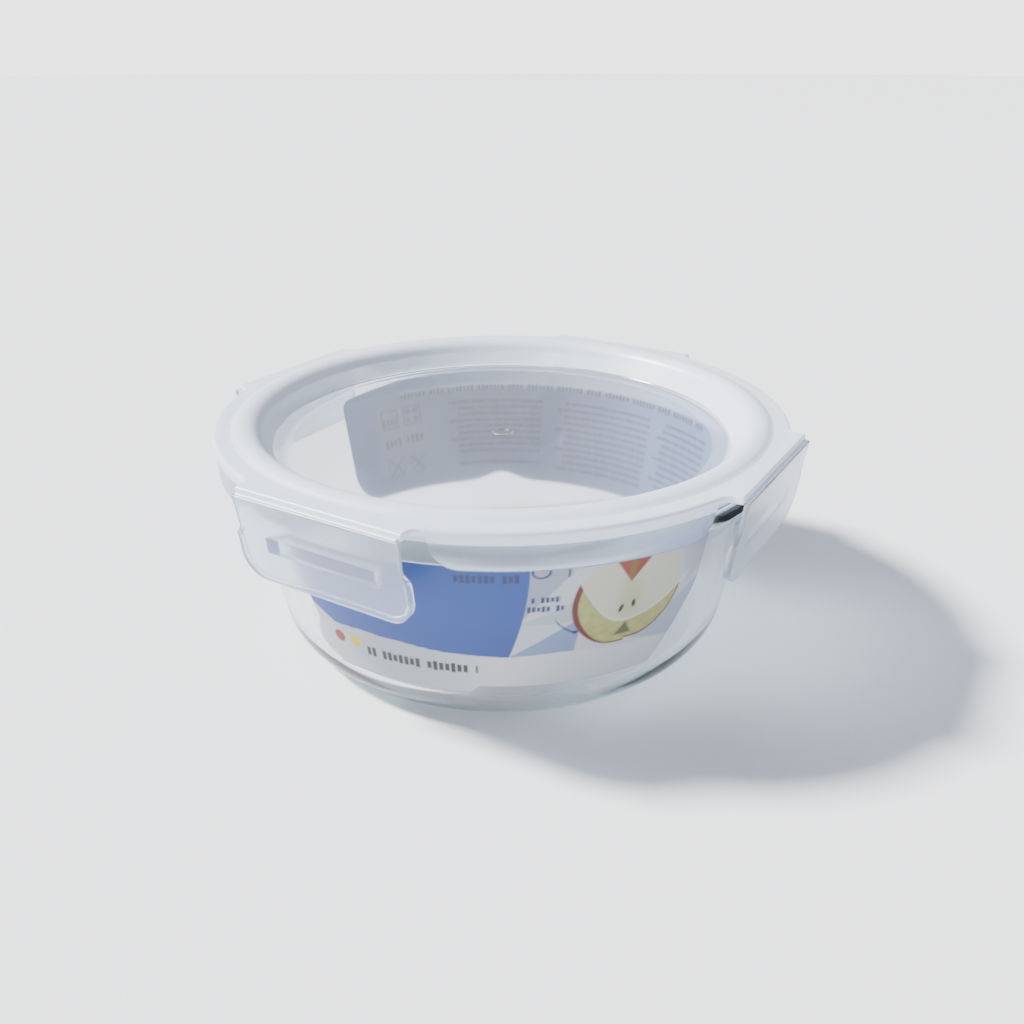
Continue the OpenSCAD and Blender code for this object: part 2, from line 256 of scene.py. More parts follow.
def skirt_floor(direction):
    """Height of the skirt's lower edge: level, then up along a quarter round at each end."""
    across = DECK_R * np.sin(np.radians(45 - np.abs(direction)))
    straight = DECK_R * math.sin(math.radians(SKIRT_HALF_SPAN)) - SKIRT_CORNER
    past = np.maximum(across - straight, 0)
    rise = SKIRT_CORNER - np.sqrt(np.maximum(SKIRT_CORNER ** 2 - past ** 2, 0))
    return np.minimum(SKIRT_LOW + rise, DECK_Z - 4.3)


direction = np.tile(quarter, 4)
edge_r = outline_radius(direction)
has_skirt = np.abs(direction) >= SKIRT_START
print("lid radius from", edge_r.min().round(2), "to", edge_r.max().round(2), "mm")

# %% [markdown]
# ## The lid
# One injection moulding: a clear centre panel 8 mm down, a leaning recess wall, a hollow crest
# that holds the seal, and a flat deck. It could be cut from solids with booleans, which leaves
# messy edges; one section carried round with a changing radius stays clean and watertight.

# %% Lid section
def lid_rows():
    """Rows (radius, height, finish) from the panel's underside out to the edge and back.
    Finishes: 0 satin, 1 polished panel, 2 recess wall, 3 thin skirt."""
    lean, t30, c30 = 30, math.tan(math.radians(30)), math.cos(math.radians(30))
    foot_round, crest_round, channel = 2, 1.6, CREST_ARC - LID_T
    panel_x = CREST_R - CREST_ARC / c30 + (PANEL_Z - CREST_ARC_Z) * t30 + foot_round * (t30 - 1 / c30)
    panel_arc_z = PANEL_Z + foot_round
    channel_end = math.degrees(math.asin((DECK_LOW - CREST_ARC_Z) / channel))
    blend_z, reach = DECK_Z + crest_round, CREST_ARC + crest_round
    blend_x = CREST_R + math.sqrt(reach ** 2 - (blend_z - CREST_ARC_Z) ** 2)
    blend_a = math.degrees(math.asin((blend_z - CREST_ARC_Z) / reach))
    rows = []

    def add(points, finish):
        rows.extend((r, z, finish) for r, z in points)

    flat = [3, 8, 16, 26, 36, 46, 55, 62, 67]
    add([[0, PANEL_Z - LID_T]] + [[r, PANEL_Z - LID_T] for r in flat], 1)
    add(arc(panel_x, panel_arc_z, foot_round + LID_T, -90, -lean, 8), 1)
    add(arc(CREST_R, CREST_ARC_Z, channel, 180 - lean, channel_end, 22), 2)
    guide = RIM_R + 0.6
    add([[guide - 0.3, DECK_LOW], [guide, DECK_LOW - 0.3], [guide, DECK_LOW - 2.7],
         [guide + 0.3, DECK_LOW - 3], [guide + 0.8, DECK_LOW - 3],
         [guide + 1.1, DECK_LOW - 2.7], [guide + 1.1, DECK_LOW - 0.1]], 0)

    band_in, thin_in, thin_out, band_out = DECK_R - 1.87, DECK_R - 1.7, DECK_R - 0.5, DECK_R - 0.17
    band_z = np.where(has_skirt, DECK_Z - 3.8, DECK_LOW)
    floor_z = np.where(has_skirt, skirt_floor(direction), DECK_LOW)
    free = (~has_skirt).astype(float)
    hung = 1 - free
    spread = edge_r - 0.9 - (guide + 1.2)

    def skirt_row(r, z, share):
        """On the skirt the row is at r; elsewhere it lies flat under the deck, a share of the way out."""
        return np.where(has_skirt, r, guide + 1.2 + spread * share), z + 0 * free

    steps = [(band_in, band_z * 0 + DECK_LOW, 0.05), (band_in, band_z, 0.12),
             (thin_in, band_z - 0.1 * hung, 0.2), (thin_in, floor_z + 0.35 * hung, 0.28),
             (thin_in + 0.1, floor_z + 0.1 * hung, 0.36), (thin_in + 0.35, floor_z, 0.44),
             (thin_out - 0.35, floor_z, 0.52), (thin_out - 0.1, floor_z + 0.1 * hung, 0.6),
             (thin_out, floor_z + 0.35 * hung, 0.68), (thin_out, band_z - 0.45 * hung, 0.76),
             (thin_out + 0.12, band_z - 0.1 * hung, 0.82), (band_out - 0.1, band_z, 0.88),
             (band_out, band_z + 0.15 * hung, 0.94)]
    for n, (r, z, share) in enumerate(steps):
        rows.append((*skirt_row(r, z, share), 3 if 2 <= n <= 9 else 0))
    edge_round = np.where(has_skirt, 1.0, 0.8)
    low = np.where(has_skirt, band_out, edge_r - 0.15)
    rows.append((low, np.where(has_skirt, DECK_LOW, DECK_LOW + 0.02), 0))
    rows.append((edge_r, np.where(has_skirt, DECK_LOW + 0.35, DECK_LOW + 0.2), 0))
    for a in np.radians(np.linspace(0, 90, 7)):
        rows.append((edge_r - edge_round * (1 - math.cos(a)), DECK_Z - edge_round * (1 - math.sin(a)), 0))
    deck_in = blend_x + 0.05
    for share in (0.3, 0.65):
        rows.append(((edge_r - edge_round) * (1 - share) + deck_in * share, DECK_Z, 0))
    add(arc(blend_x, blend_z, crest_round, 270, 180 + blend_a, 8), 0)
    add(arc(CREST_R, CREST_ARC_Z, CREST_ARC, blend_a, 90, 10), 0)
    add(arc(CREST_R, CREST_ARC_Z, CREST_ARC, 96, 180 - lean, 9), 0)
    add(arc(panel_x, panel_arc_z, foot_round, -lean, -90, 8), 2)
    add([[r, PANEL_Z] for r in flat[:1:-1]], 1)
    gate = [(5.0, 0), (3.3, 0), (3.1, 0.2), (2.3, 0.2), (2.1, 0), (1.0, 0)]
    add([[r, PANEL_Z + h] for r, h in gate] + [[0, PANEL_Z]], 1)
    return rows


rows = lid_rows()
lid_r = np.stack([np.broadcast_to(r, direction.shape) for r, _, _ in rows])
lid_z = np.stack([np.broadcast_to(z, direction.shape) for _, z, _ in rows])
lid_moulding = turned("lid_moulding", lid_r, lid_z, lid_turns)
finish_of_row = np.array([f for _, _, f in rows])
inner_rows = finish_of_row[1:-2]
face_finish = np.concatenate([np.repeat(inner_rows, len(lid_turns)), np.ones(2 * len(lid_turns), int)])
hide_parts("lid_panel")
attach(lid_moulding, "lid")

# %% [markdown]
# ## The seal
# A silicone ring in the crest's hollow side. Two lips press on the glass rim when the wings
# are snapped down. It is a closed section, so the last row joins the first.

# %% Seal
def seal_section():
    """Round back that follows the lid's channel, and a groove between two lips."""
    r, low = CREST_ARC - LID_T - 0.05, BOWL_H + 0.25
    side = math.degrees(math.asin((low - CREST_ARC_Z) / r))
    return np.vstack([arc(CREST_R, CREST_ARC_Z, r, side, 180 - side, 16),
                      [[CREST_R - 1.4, low], [CREST_R - 1.0, low + 0.3], [CREST_R - 0.8, low + 1.4],
                       [CREST_R + 0.8, low + 1.4], [CREST_R + 1.0, low + 0.3], [CREST_R + 1.4, low]]])


section = seal_section()
seal = turned("seal_ring", section[:, :1], section[:, 1:], np.linspace(0, 360, 192, endpoint=False), True)
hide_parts("lid_gasket")
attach(seal, "lid")

# %% [markdown]
# ## The wings
# Each wing is a moulded plate that hangs from a film hinge. Its sides draw in to a waist and
# then widen into a finger tab with round corners and a stiffening edge. A bar on the inner
# side locks under the glass rim. The plate is a sheet over a grid: along the width and down
# the height. The distance to its outline, d, rounds the edges and places the stiffening edge.

# %% Wing surface
WING_T, WING_H = 1.4, 26.0
LEAN, SNAP = math.radians(7.5), math.radians(4)
TAB_W, TAB_R, TAB_TOP, TAB_RIM_D = 28.6, 7.5, 9.5, 0.8
EDGE_R = 0.42
PLATE_TOP = 0.3
LOCK_R, LOCK_L = RIM_R + 0.35, 18.0
LOCK_TOP, LOCK_H = HINGE_Z - LIP_Z + 0.4, 4.8


def wing_half_width(h):
    """Half width at depth h below the hinge: a slow taper, a smooth shoulder, a round corner."""
    taper = WING_HALF_W - 0.6 * h / 10.6 + 2.2 * smooth_step((h - 9.2) / 3.8)
    low = np.clip(h - (WING_H - TAB_R), 0, TAB_R)
    return np.minimum(taper, TAB_W) - TAB_R + np.sqrt(TAB_R ** 2 - low ** 2)


near_edge = np.array([0, 0.06, 0.16, 0.32, 0.5, 0.8, 1.15, 1.45, 1.75, 2.2, 3.0])
bar_ends = np.arange(0.73, 0.80, 0.01)
shares = np.concatenate([np.arange(-0.96, -0.80, 0.05), -bar_ends[::-1], np.arange(-0.7, 0.71, 0.07),
                         bar_ends, np.arange(0.81, 0.97, 0.05)])
depth = np.concatenate([PLATE_TOP + near_edge[:6], np.arange(1.8, 9.2, 0.75), np.arange(9.3, 11.5, 0.3),
                        np.arange(11.55, 12.7, 0.1), np.arange(12.8, 16.3, 0.35),
                        np.arange(16.4, 16.8, 0.07), np.arange(17, 23, 0.4), WING_H - near_edge[::-1]])[::-1]


def wing_faces():
    """Outer and inner face in the plate's own frame: s across, t inwards, h down."""
    h = np.repeat(depth[:, None], 2 * len(near_edge) + len(shares), 1)
    width = wing_half_width(h)
    inner_part = width[:, :1] - near_edge[-1]
    s = np.hstack([near_edge - width[:, :1], shares * inner_part, width[:, :1] - near_edge[::-1]])
    over_x = np.maximum(np.abs(s) - (TAB_W - TAB_R), 0)
    over_h = np.maximum(h - (WING_H - TAB_R), 0)
    corner = TAB_R - np.hypot(over_x, over_h)
    side = np.where(over_h > 0, np.where(over_x > 0, corner, WING_H - h), width - np.abs(s))
    d = np.clip(np.minimum(np.minimum(side, WING_H - h), h - PLATE_TOP), 0, None)
    edge = EDGE_R - np.sqrt(np.maximum(EDGE_R ** 2 - np.maximum(EDGE_R - d, 0) ** 2, 0))
    tab_rim = TAB_RIM_D * smooth_step((1.75 - d) / 0.5) * smooth_step((h - TAB_TOP) / 5)
    face = (HINGE_R - np.sqrt(LOCK_R ** 2 - s ** 2) - h * math.sin(LEAN)) / math.cos(LEAN)
    tilt = LEAN + SNAP
    slope = (h * math.cos(tilt) - LOCK_TOP) / math.sin(tilt) - WING_T / 2
    bar_low = (LOCK_TOP + LOCK_H + WING_T / 2 * math.sin(tilt)) / math.cos(tilt)
    ends = smooth_step((LOCK_L - np.abs(s)) / 0.3 + 0.2)
    bar = np.clip(np.minimum(slope, face - WING_T / 2 - 0.03), 0, None) * ends * (h < bar_low)
    outer_t = -WING_T / 2 + edge
    inner_t = WING_T / 2 - edge + np.maximum(tab_rim, bar)
    return [np.stack([s, t * math.cos(LEAN) + h * math.sin(LEAN),
                      t * math.sin(LEAN) - h * math.cos(LEAN)], -1) for t in (outer_t, inner_t)]


def place_at_hinge(points, k):
    """Moves a grid from the hinge's frame to wing k: out to the hinge, then a quarter turn k times."""
    a = math.radians(90 * k)
    x, y, z = points[..., 0], points[..., 1] - HINGE_R, points[..., 2] + HINGE_Z
    return np.stack([x * math.cos(a) - y * math.sin(a), x * math.sin(a) + y * math.cos(a), z], -1)


SIDES = ["front", "right", "back", "left"]
wings = []
for k, side in enumerate(SIDES):
    outer, inner = (place_at_hinge(p, k) for p in wing_faces())
    wing = sheet(f"wing_{side}_plate", outer, inner)
    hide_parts(f"wing_{side}")
    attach(wing, f"{side}_wing")
    wings.append(wing)

# %% [markdown]
# ## The film hinges
# Where a wing meets its ear the plastic is only a third of a millimetre thick and bends
# thousands of times without breaking. It is a strip carried along a path that turns down from
# the ear into the wing.

# %% Film hinges
FILM_T = 0.35


def film_faces():
    """Outer and inner face: points half a thickness to each side of a path from wing to ear."""
    path = np.vstack([[[0.02, -0.75], [0.0, -0.5]], arc(0.3, -0.3, 0.3, 180, 90, 9),
                      [[0.5, 0.0], [0.75, 0.0], [1.0, 0.0]]])
    along = np.gradient(path, axis=0)
    along /= np.linalg.norm(along, axis=1, keepdims=True)
    out = np.column_stack([-along[:, 1], along[:, 0]])
    half_l = WING_HALF_W - 1.0
    x = np.linspace(-half_l, half_l, 24)
    faces = []
    for side in (1, -1):
        y, z = (path + side * out * FILM_T / 2).T
        faces.append(np.stack(np.broadcast_arrays(x[None, :], y[:, None], z[:, None]), -1))
    return faces


films = []
for k, side in enumerate(SIDES):
    outer, inner = (place_at_hinge(p, k) for p in film_faces())
    film = sheet(f"film_{side}", outer, inner, 60)
    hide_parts(f"film_hinge_{side}")
    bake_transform(film)
    films.append(film)

# %% [markdown]
# ## Colours
# Every colour is written as an sRGB hex value and turned to linear in one place.

# %% Colour helpers
def linear(hex_colour):
    """sRGB hex to linear RGB: below 0.04045 divide by 12.92, above it a power of 2.4."""
    c = np.array([int(hex_colour[i:i + 2], 16) for i in (1, 3, 5)]) / 255
    return np.where(c <= 0.04045, c / 12.92, ((c + 0.055) / 1.055) ** 2.4)


def rgba(hex_colour):
    """Linear colour with alpha 1, as sockets want it."""
    return (*linear(hex_colour), 1.0)


# %% [markdown]
# ## The labels
# Two printed paper labels are wrapped round the outside of the glass. Their print is plain
# shapes, so it is painted by arithmetic: each shape is a distance, turned into a soft mask,
# and laid over what is there. The colour is stored on the sheet's own points, a third of a
# millimetre apart, so it follows the curve. Lettering is only bars, as on a layout sketch. The
# sheet's inner face lies just inside the glass: glue leaves no air, so glass shows it directly.

# %% Painting helpers
def mask(distance, width=0.3):
    """1 inside a shape and 0 outside, soft over the given width; distance is negative inside."""
    return np.clip(0.5 - distance / width, 0, 1)


def lay(colours, hex_colour, amount):
    """Lays a colour over the others by an amount from 0 to 1."""
    return colours + (linear(hex_colour) - colours) * amount[..., None]


def ellipse(x, y, cx, cy, rx, ry):
    """Rough distance to an ellipse: how far its scaled radius is over 1, times its smaller half axis."""
    return (np.hypot((x - cx) / rx, (y - cy) / ry) - 1) * min(rx, ry)


def box(x, y, cx, cy, half_x, half_y):
    """Distance to a box: the larger of the distances past its sides."""
    return np.maximum(np.abs(x - cx) - half_x, np.abs(y - cy) - half_y)


def edge_line(x, y, x0, y0, x1, y1):
    """Distance to a line through two points, positive to its left."""
    length = math.hypot(x1 - x0, y1 - y0)
    return ((x1 - x0) * (y - y0) - (y1 - y0) * (x - x0)) / length


def triangle(x, y, *corners):
    """Distance to a triangle with corners in clockwise order."""
    (x0, y0), (x1, y1), (x2, y2) = corners
    return np.maximum(np.maximum(edge_line(x, y, x0, y0, x1, y1), edge_line(x, y, x1, y1, x2, y2)),
                      edge_line(x, y, x2, y2, x0, y0))


def word_bars(x, y, left, right, middle, height, pitch=1.3, seed=0.0):
    """A line of greeked lettering: blocks of one pitch with gaps, and wider gaps between words."""
    cell = np.floor((x - left) / pitch)
    block = np.abs((x - left) / pitch - cell - 0.45) * pitch - 0.36 * pitch
    gap = np.sin(cell * 2.4 + seed) + np.sin(cell * 0.9 + seed * 1.7) > 1.15
    tall = height * (0.5 + 0.08 * np.sin(cell * 4.1 + seed))
    line = np.maximum(np.maximum(left - x, x - right), np.maximum(block, np.abs(y - middle) - tall))
    return np.where(gap, 1.0, line)


# %% Label sheets
GLUED, LABEL_T = 0.03, 0.12


def label_sheet(name, node, facing, left_edge, right_edge, low_edge, high_edge, cells):
    """A sheet between edge curves, wrapped on the glass wall. Each edge gives a direction for a
    height or a height for a direction, so the grid's places are found by going round four times."""
    v, u = np.meshgrid(np.linspace(0, 1, cells[1]), np.linspace(0, 1, cells[0]), indexing="ij")
    a, z = u * 60 - 30, v * 40 - 55
    for _ in range(4):
        a = left_edge(z) + (right_edge(z) - left_edge(z)) * u
        z = low_edge(a) + (high_edge(a) - low_edge(a)) * v
    turn = np.radians(facing + a - 90)
    height = DECK_Z + z
    faces = []
    for gap in (LABEL_T, -GLUED):
        r = wall_radius(height) + gap
        faces.append(np.stack([r * np.cos(turn), r * np.sin(turn), height], -1))
    piece = sheet(name, *faces)
    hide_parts(node)
    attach(piece, "bowl")
    return piece, a, z


def store_print(piece, colours, tone, glued_painted_tone):
    """Puts the painted grid on both faces as a colour attribute named print. The tones scale
    it on the outer and the glued face: below 1 as painted shade, above 1 as painted light."""
    flat = colours.reshape(-1, 3)
    both = np.concatenate([flat * tone, flat * glued_painted_tone])
    data = np.column_stack([both, np.ones(len(both))]).astype(np.float32)
    layer = piece.data.color_attributes.new("print", "FLOAT_COLOR", "POINT")
    layer.data.foreach_set("color", data.ravel())


# %% [markdown]
# The front label: a blue panel on the left, pale swathes and a cut apple on the right, half of
# it fresh under a clear film and half of it browned, and a white strip below.

# %% Front label
def front_left(z):
    """The left end leans and curves: further right towards the bottom."""
    return -45.5 + 7.2 * np.clip((-z - 20) / 37, 0, 1) ** 2


def front_right(z):
    """The right end: upright at the top and drawn in below."""
    return 43.6 - 10.5 * np.clip((-z - 30) / 27, 0, 1) ** 1.3


def front_low(a):
    """The lower edge, with a small step left of the middle."""
    return -57.2 + 2.4 * smooth_step((a + 6.5) / 2.1)


def level(height):
    """An edge at one height."""
    return lambda a: 0 * a + height


front_label, a, z = label_sheet("front_label_sheet", "front_label", LABEL_FACING, front_left, front_right,
                                front_low, level(-12.7), (372, 124))
MM_PER_DEG = math.radians(1) * 78


def paint_front(a, z):
    """Lays the print's shapes in order; x and z are in mm from the label's middle and the deck."""
    x = a * MM_PER_DEG

    def at(angle):
        return angle * MM_PER_DEG

    ink = np.broadcast_to(linear("#dfe5ee"), (*x.shape, 3)).copy()
    ink = lay(ink, "#b3bdd6", mask(triangle(x, z, (at(4), -12), (at(16), -12), (at(1), -36))))
    ink = lay(ink, "#c9d2e4", mask(triangle(x, z, (at(3), -33), (at(16), -25), (at(15), -33))))
    ink = lay(ink, "#8fa6d3", mask(triangle(x, z, (at(1.6), -44), (at(16), -31.5), (at(14.8), -43.6))))
    ink = lay(ink, "#bccadf", mask(triangle(x, z, (at(27), -43), (at(47), -26), (at(40), -47))))
    ink = lay(ink, "#ccd0de", 0.8 * mask(triangle(x, z, (at(36), -12), (at(60), -8), (at(40), -30))))
    base = np.interp(a, [-90, -45.3, -37.5, -30.4, -20.8, -12.3, 1.6, 12, 20.6, 33, 46.8, 90],
                     [-36, -36.9, -42.4, -41.6, -42, -43.2, -44.1, -43.2, -44.1, -45.5, -49, -60])
    blue = np.maximum(x - at(5.3 - 3.7 * ((-15.6 - z) / 28.5) ** 2), base - z)
    ink = lay(ink, "#2355b4", mask(blue))
    ink = lay(ink, "#1d4aa6", 0.5 * mask(blue) * smooth_step((-28 - z) / 14))
    ink = lay(ink, "#f3f5f8", mask(z - base) * mask(-5 - x + at(5.3)))
    ink = lay(ink, "#eef1f5", mask(z - base))
    # Painted shade: the white strip greys towards its left end, where it lies in shade.
    ink = lay(ink, "#c3c9d2", 0.8 * mask(z - base) * smooth_step((at(2) - x) / 30))
    ink = paint_apple(ink, a, x, z, at)
    navy = "#27366f"
    ink = lay(ink, navy, mask(word_bars(x, z, at(-9.6), at(3.4), -17.4, 2.4, 1.5, 1.0)))
    ink = lay(ink, navy, mask(word_bars(x, z, at(5.6), at(11.2), -24.6, 1.7, 1.25, 0.4)))
    ink = lay(ink, navy, mask(word_bars(x, z, at(4.9), at(12.0), -27.6, 1.7, 1.25, 2.2)))
    ring = np.abs(ellipse(x, z, at(7.4), -15.4, 2.2, 1.9)) - 0.28
    ink = lay(ink, navy, mask(ring))
    ink = lay(ink, navy, mask(box(x, z, at(12.5), -16.2, 0.25, 1.4)))
    bend = -31.5 - 5.4 * np.clip((x - at(10.6)) / (at(14.6) - at(10.6)), 0, 1) ** 0.6
    hook = np.maximum(np.abs(z - bend) - 0.32, box(x, z, at(12.6), -34, at(14.6) - at(12.6), 9))
    ink = lay(ink, navy, mask(hook))
    ink = lay(ink, navy, mask(ellipse(x, z, at(14.7), -36.7, 0.75, 0.6)))
    ink = lay(ink, "#2b2e33", mask(word_bars(x, z, at(-29.7), at(-4.7), -48.6, 2.9, 1.75, 3.0)))
    ink = lay(ink, "#a01c14", mask(ellipse(x, z, at(-37), -46.9, 2.0, 2.0)))
    ink = lay(ink, "#f4e000", mask(ellipse(x, z, at(-32.6), -46.7, 2.0, 2.0)))
    return ink


def paint_apple(ink, a, x, z, at):
    """A cut apple: skin, flesh with a notch at the stalk, core and seeds, and the film's edge."""
    cx, cz = at(25.8), -28.6
    dx, dz = x - cx, z - cz
    around, r = np.arctan2(dx, dz), np.hypot(dx * 0.93, dz)
    size = 15.4 - 7.0 * np.exp(-(around / 0.2) ** 2) - 0.9 * np.exp(-((np.abs(around) - np.pi) / 0.35) ** 2)
    size += 1.1 * np.exp(-((np.abs(around) - 0.75) / 0.45) ** 2) - 0.8 * (dx > 0) * smooth_step(-dz / 12)
    apple = r - size
    skin = 0.55 + 1.0 * smooth_step((-dx - 6) / 9)
    film = -35.6 + np.where(a < 25.2, 0.142, 0.045) * (a - 25.2) ** 2
    under_film = mask(film - z, 0.5)
    ink = lay(ink, "#dde0ea", 0.45 * under_film * mask(np.abs(x - cx) - 22, 3))
    ink = lay(ink, "#7d3028", mask(apple) * (1 - under_film))
    ink = lay(ink, "#c9cc86", mask(apple + skin))
    brown = np.sin(x * 1.1 + 2 * np.sin(z * 0.6)) * np.sin(z * 1.3 + np.sin(x * 0.7)) * 0.5 + 0.5
    ink = lay(ink, "#b0ad52", 0.55 * brown * mask(apple + skin) * (1 - under_film))
    ink = lay(ink, "#e3e5cf", mask(apple + 0.4) * under_film)
    ink = lay(ink, "#cdd09d", 0.6 * mask(ellipse(x, z, cx, cz + 1, 3.6, 7.5), 3) * under_film)
    stalk = np.maximum(triangle(x, z, (at(20.6), -13), (at(30.5), -13), (at(25.3), -22.6)), -12.5 + z)
    ink = lay(ink, "#a9443e", mask(stalk, 0.5))
    ink = lay(ink, "#8d7b35", 0.8 * mask(ellipse(x, z, at(25.3), -17.5, 1.0, 4.2), 0.8))
    for seed_at, seed_z in ((24.0, -31.2), (26.7, -30.4)):
        lean = (z - seed_z) * 0.28 * (1 if seed_at < 25 else -0.2)
        ink = lay(ink, "#4b3540", mask(ellipse(x - lean, z, at(seed_at), seed_z, 0.62, 1.35)))
    core = triangle(x, z, (at(23.2), -40.5), (at(25.6), -36.4), (at(27.2), -40.5))
    ink = lay(ink, "#55573f", 0.85 * mask(core, 0.6))
    ink = lay(ink, "#ffffff", 0.8 * mask(np.abs(film - z) - 0.3, 0.3) * mask(np.abs(x - cx) - 20, 2))
    return ink


# Painted shade: the front print at 0.56 for a label in shade, its glued face at 0.25 for the dark band at the
# foot.
store_print(front_label, paint_front(a, z), 0.56, 0.25)

# %% [markdown]
# The back label: pale lavender paper with a heading line, columns of small print as bars, and
# boxes with generic marks. It is read through the clear panel, from inside the bowl, so its
# print runs the other way round.

# %% Back label
BACK_FACING = LABEL_FACING + 165


def back_end(z):
    """How far the ends reach: round at the corners, more so at the lower ones."""
    low = np.clip((-z - 45) / 12.8, 0, 0.995)
    high = np.clip((z + 21) / 3.8, 0, 0.99)
    inwards = 12 * (1 - np.sqrt(1 - low ** 2)) + 3 * (1 - np.sqrt(1 - high ** 2))
    return 64.5 - inwards / MM_PER_DEG


def back_low(a):
    """The lower edge: a slow rise, then a step down past the middle."""
    return -57.6 + 3.4 * np.exp(-((a - 16) / 6) ** 2)


def back_high(a):
    """The upper edge: level in the middle and drooping towards both ends."""
    return -12.7 - 4.6 * np.clip((np.abs(a) - 26) / 38, 0, 1) ** 1.5


back_label, a, z = label_sheet("back_label_sheet", "back_label", BACK_FACING, lambda z: -back_end(z),
                               back_end, back_low, back_high, (500, 128))


def paint_back(a, z):
    """Lays the print's shapes in order; x runs to the left as seen from inside the bowl."""
    x = a * MM_PER_DEG

    def at(angle):
        return angle * MM_PER_DEG

    ink = np.broadcast_to(linear("#c4d2fa"), (*x.shape, 3)).copy()
    notch = np.maximum(np.abs(x - at(5)) - np.clip((z + 21) * 0.9, 0, 12), -z - 21)
    ink = lay(ink, "#e2e6ee", 0.9 * mask(notch, 0.6))
    petal = ellipse(x + 0.25 * (z + 32), z, at(2), -32, 8, 12)
    ink = lay(ink, "#aab8e0", 0.7 * mask(petal, 0.8))
    text = "#1d2470"
    heading = word_bars(-x, z, at(-47), at(50), -21.2 + 1.5 * np.cos(np.radians(a * 1.6)), 1.9, 1.5, 1.0)
    ink = lay(ink, text, 0.85 * mask(heading))
    columns = ((4.0, 31.7, 11, -50.0), (-30.4, -0.5, 11, -51.5), (-53, -33, 11, -52.0))
    for n, (low, high, lines, bottom) in enumerate(columns):
        for i in range(lines):
            if n == 0 and i == 9:
                continue
            middle = -25.4 - i * (abs(bottom) - 25.4) / (lines - 1)
            end = high - 3.0 * abs(math.sin(i * 2.1 + n))
            line = word_bars(-x, z, at(-end), at(-low), middle, 1.0, 0.95, i + 3.0 * n)
            ink = lay(ink, text, 0.8 * mask(line))
            solid = box(-x, z, 0.5 * at(-end - low), middle, 0.5 * (at(end) - at(low)), 0.36)
            ink = lay(ink, text, 0.7 * mask(solid))
    for cx, cz in ((50, -28.5), (43, -28)):
        ink = lay(ink, text, 0.8 * mask(np.abs(box(x, z, at(cx), cz, 3.4, 3.4)) - 0.22))
    ink = lay(ink, text, 0.8 * mask(word_bars(-x, z, at(-52.4), at(-47.6), -29.6, 2.4, 1.6, 2.0)))
    ink = lay(ink, text, 0.6 * mask(box(np.abs(x - at(43)), np.abs(z + 28), 1.6, 1.6, 1.0, 1.0)))
    ink = lay(ink, text, 0.85 * mask(word_bars(-x, z, at(-52.5), at(-47.2), -37.8, 3.0, 1.9, 2.0)))
    ink = lay(ink, text, 0.85 * mask(word_bars(-x, z, at(-45.5), at(-40), -37.2, 3.0, 1.9, 5.0)))
    for cx, size in ((49.5, 3.7), (42.5, 3.1)):
        dx, dz = x - at(cx), z + 47.2
        cross = np.maximum(np.minimum(np.abs(dx - dz), np.abs(dx + dz)) * 0.7 - 0.25, np.abs(dx) - size * 0.8)
        ink = lay(ink, text, 0.85 * mask(np.maximum(cross, np.abs(dz) - size * 0.8)))
        ink = lay(ink, text, 0.5 * mask(np.abs(box(dx, dz, 0, 0, size, size)) - 0.16))
    return ink


# Painted light: the back print is lifted by 1.1, above what paper gives back, so the far label reads lighter.
store_print(back_label, paint_back(a, z), 1.1, 1.1)

# %% [markdown]
# ## Finishes
# A material starts from what the real one is and how it was shaped. One small function adds a
# node with its settings and its links, so each recipe reads from top to bottom.

# %% Material helpers
def add_node(tree, kind, settings=None, **links):
    """A node of one kind. Settings name its properties or input sockets, or give a socket's
    number; links name input sockets, with _ for a space, and give a node or one of its outputs."""
    node = tree.nodes.new(kind)
    for name, value in (settings or {}).items():
        if isinstance(name, int) or name in node.inputs:
            node.inputs[name].default_value = value
        else:
            setattr(node, name, value)
    for name, source in links.items():
        output = source.outputs[0] if isinstance(source, bpy.types.Node) else source
        tree.links.new(output, node.inputs[name.replace("_", " ")])
    return node


def new_material(name):
    """An empty node material and its output node."""
    material = bpy.data.materials.new(name)
    material.use_nodes = True
    material.node_tree.nodes.clear()
    return material, material.node_tree, material.node_tree.nodes.new("ShaderNodeOutputMaterial")


def noise_at(tree, size_mm, detail=2.0):
    """Noise on Object coordinates whose blobs are about size_mm across."""
    place = add_node(tree, "ShaderNodeTexCoord")
    settings = {"Scale": 1000 / size_mm, "Detail": detail, "Roughness": 0.55}
    return add_node(tree, "ShaderNodeTexNoise", settings, Vector=place.outputs["Object"])


def blend_tones(tree, first, second, share):
    """A colour between two hex colours, by a share from 0 to 1."""
    settings = {"data_type": "RGBA", 6: rgba(first), 7: rgba(second)}
    return add_node(tree, "ShaderNodeMix", settings, Factor=share).outputs[2]


# %% Clear materials and lamps
def finish_clear(tree, out, shader, lamp_tint):
    """Joins a clear shader to the output so that lamps shine through it: their rays meet a
    plain tinted filter, because light bent by glass is found too seldom to look smooth."""
    path = add_node(tree, "ShaderNodeLightPath")
    filtered = add_node(tree, "ShaderNodeBsdfTransparent", {"Color": rgba(lamp_tint)})
    both = add_node(tree, "ShaderNodeMixShader", Fac=path.outputs["Is Shadow Ray"])
    tree.links.new(shader.outputs[0], both.inputs[1])
    tree.links.new(filtered.outputs[0], both.inputs[2])
    tree.links.new(both.outputs[0], out.inputs["Surface"])


# %% [markdown]
# Borosilicate glass, pressed and fire polished. It is clear and smooth, so its looks come from
# refraction. A trace of colour builds up along the long way through the rim and the base,
# which is why those edges look blue green; an absorbing volume does just that.

